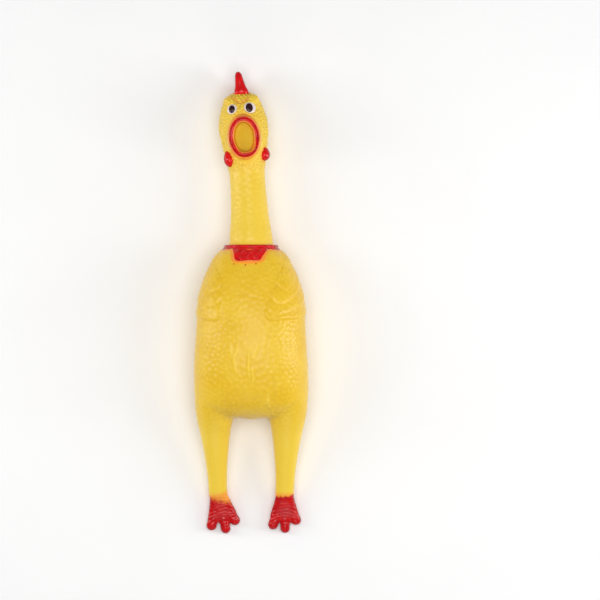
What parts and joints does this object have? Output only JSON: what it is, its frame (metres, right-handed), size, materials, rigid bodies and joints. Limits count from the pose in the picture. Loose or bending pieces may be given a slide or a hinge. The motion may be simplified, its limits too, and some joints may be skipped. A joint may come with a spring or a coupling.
{
  "type": "rubber chicken",
  "caption": "Limp yellow vinyl prop chicken that lies on its back, with bending neck and legs, a belly that squeezes in and a reed squeaker behind its open mouth.",
  "frame": {"origin": "middle of the resting flat on the back, on the surface that the toy lies on", "axes": "+Y towards the head, +Z out of the belly and away from the floor, +X the chicken's own left side"},
  "size_m": [0.0772, 0.3093, 0.0572],
  "materials": {
    "yellow_vinyl": "semi-gloss pimpled vinyl",
    "red_paint": "gloss sprayed paint on vinyl",
    "eye_paint": "gloss brushed paint on vinyl",
    "squeaker_plastic": "smooth moulded",
    "reed_film": "clear polyester film"
  },
  "bodies": {
    "torso": {"torso_skin": "yellow_vinyl", "left_wing": "yellow_vinyl", "right_wing": "yellow_vinyl", "collar": "red_paint", "collar_bib": "red_paint"},
    "belly": {"belly_panel": "yellow_vinyl"},
    "lower_neck": {"lower_neck_skin": "yellow_vinyl"},
    "upper_neck": {"upper_neck_skin": "yellow_vinyl"},
    "head": {"head_skin": "yellow_vinyl", "lips": "red_paint", "left_eye": "eye_paint", "right_eye": "eye_paint", "left_wattle": "red_paint", "right_wattle": "red_paint", "comb": "red_paint", "squeaker_barrel": "squeaker_plastic", "squeaker_cap": "squeaker_plastic", "reed_block": "squeaker_plastic", "reed_root": "reed_film", "reed_wedge": "squeaker_plastic"},
    "reed": {"reed_tongue": "reed_film"},
    "left_thigh": {"left_thigh_skin": "yellow_vinyl"},
    "left_shank": {"left_shank_skin": "yellow_vinyl"},
    "left_foot": {"left_foot": "red_paint"},
    "right_thigh": {"right_thigh_skin": "yellow_vinyl"},
    "right_shank": {"right_shank_skin": "yellow_vinyl"},
    "right_foot": {"right_foot": "red_paint"}
  },
  "joints": [
    {"name": "belly_squeeze", "type": "slide", "parent": "torso", "child": "belly", "axis": [0, 0, -1], "range_m": [0, 0.008], "stiffness_N_per_m": 900},
    {"name": "neck_bend", "type": "hinge", "parent": "torso", "child": "lower_neck", "pos_m": [-0.00029, 0.07194, 0.02413], "axis": [1, 0, 0], "range_deg": [-35, 35], "stiffness_Nm_per_rad": 0.3},
    {"name": "neck_sway", "type": "hinge", "parent": "lower_neck", "child": "upper_neck", "pos_m": [-0.00166, 0.09502, 0.02212], "axis": [0, 0, 1], "range_deg": [-30, 30], "stiffness_Nm_per_rad": 0.25},
    {"name": "head_nod", "type": "hinge", "parent": "upper_neck", "child": "head", "pos_m": [-0.00297, 0.11709, 0.02019], "axis": [1, 0, 0], "range_deg": [-35, 35], "stiffness_Nm_per_rad": 0.25},
    {"name": "reed_flutter", "type": "hinge", "parent": "head", "child": "reed", "pos_m": [-0.00467, 0.13732, 0.01755], "axis": [-0.9965, -0.0837, 0], "range_deg": [-1.5, 6], "stiffness_Nm_per_rad": 0.0005},
    {"name": "left_leg_swing", "type": "hinge", "parent": "torso", "child": "left_thigh", "pos_m": [0.0245, -0.054, 0.021], "axis": [-1, 0, 0], "range_deg": [-45, 45], "stiffness_Nm_per_rad": 0.2},
    {"name": "left_leg_splay", "type": "hinge", "parent": "left_thigh", "child": "left_shank", "pos_m": [0.02353, -0.07765, 0.01469], "axis": [0, 0, 1], "range_deg": [-8, 25], "stiffness_Nm_per_rad": 0.1},
    {"name": "left_foot_flex", "type": "hinge", "parent": "left_shank", "child": "left_foot", "pos_m": [0.0225, -0.10276, 0.008], "axis": [-1, 0, 0], "range_deg": [-35, 35], "stiffness_Nm_per_rad": 0.05},
    {"name": "right_leg_swing", "type": "hinge", "parent": "torso", "child": "right_thigh", "pos_m": [-0.0245, -0.054, 0.021], "axis": [-1, 0, 0], "range_deg": [-45, 45], "stiffness_Nm_per_rad": 0.2},
    {"name": "right_leg_splay", "type": "hinge", "parent": "right_thigh", "child": "right_shank", "pos_m": [-0.02353, -0.07765, 0.01469], "axis": [0, 0, -1], "range_deg": [-8, 25], "stiffness_Nm_per_rad": 0.1},
    {"name": "right_foot_flex", "type": "hinge", "parent": "right_shank", "child": "right_foot", "pos_m": [-0.0225, -0.10276, 0.008], "axis": [-1, 0, 0], "range_deg": [-35, 35], "stiffness_Nm_per_rad": 0.05}
  ]
}
